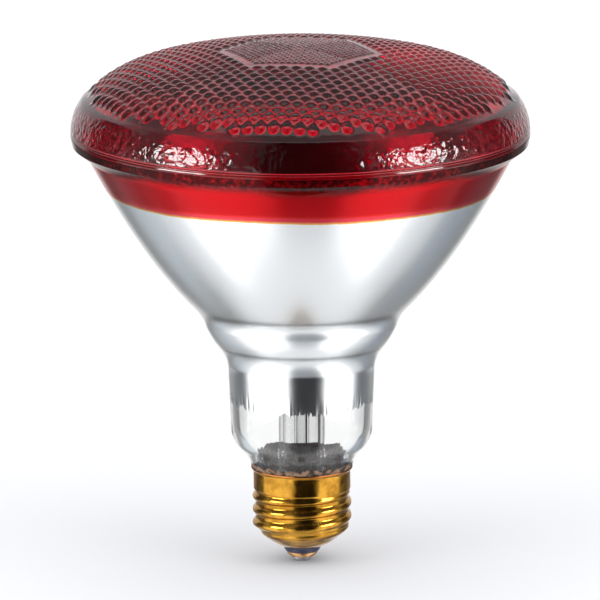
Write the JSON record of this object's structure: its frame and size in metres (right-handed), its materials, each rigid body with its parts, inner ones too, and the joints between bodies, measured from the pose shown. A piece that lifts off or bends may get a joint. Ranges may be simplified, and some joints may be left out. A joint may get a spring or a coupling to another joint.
{
  "type": "infrared heat lamp bulb",
  "caption": "Reflector heat lamp with a stippled red lens, a silvered paraboloid bowl, a clear neck and a medium Edison screw base.",
  "frame": {"origin": "the lowest point of the centre contact's solder, on the lamp's axis", "axes": "+Z along the lamp's axis from the screw base to the lens; the front seen in the picture faces -Y, with +X to its right"},
  "size_m": [0.1206, 0.1206, 0.1384],
  "materials": {
    "red_lens": "pressed glass with red lacquer, gloss",
    "clear_glass": "pressed glass, gloss",
    "silver": "vapour-deposited film",
    "red_lacquer": "gloss lacquer",
    "stem_glass": "drawn glass, gloss",
    "lead_wire": "oxidised wire",
    "filament_wire": "coiled wire",
    "brass_shell": "rolled sheet, polished",
    "black_glass": "fused black glass, gloss",
    "copper_eyelet": "polished",
    "solder": "dull",
    "cement": "rough fired cement"
  },
  "bodies": {
    "root": {"lens": "red_lens", "reflector": "clear_glass", "silver_film": "silver", "lacquer_band": "red_lacquer", "stem_tube": "stem_glass", "exhaust_tube": "stem_glass", "support_rod": "stem_glass", "centre_lead": "lead_wire", "side_lead": "lead_wire", "filament": "filament_wire", "filament_support_1": "filament_wire", "filament_support_2": "filament_wire", "filament_support_3": "filament_wire", "screw_shell": "brass_shell", "insulator": "black_glass", "contact_eyelet": "copper_eyelet", "solder_tip": "solder", "side_solder": "solder", "basing_cement": "cement"}
  },
  "joints": []
}
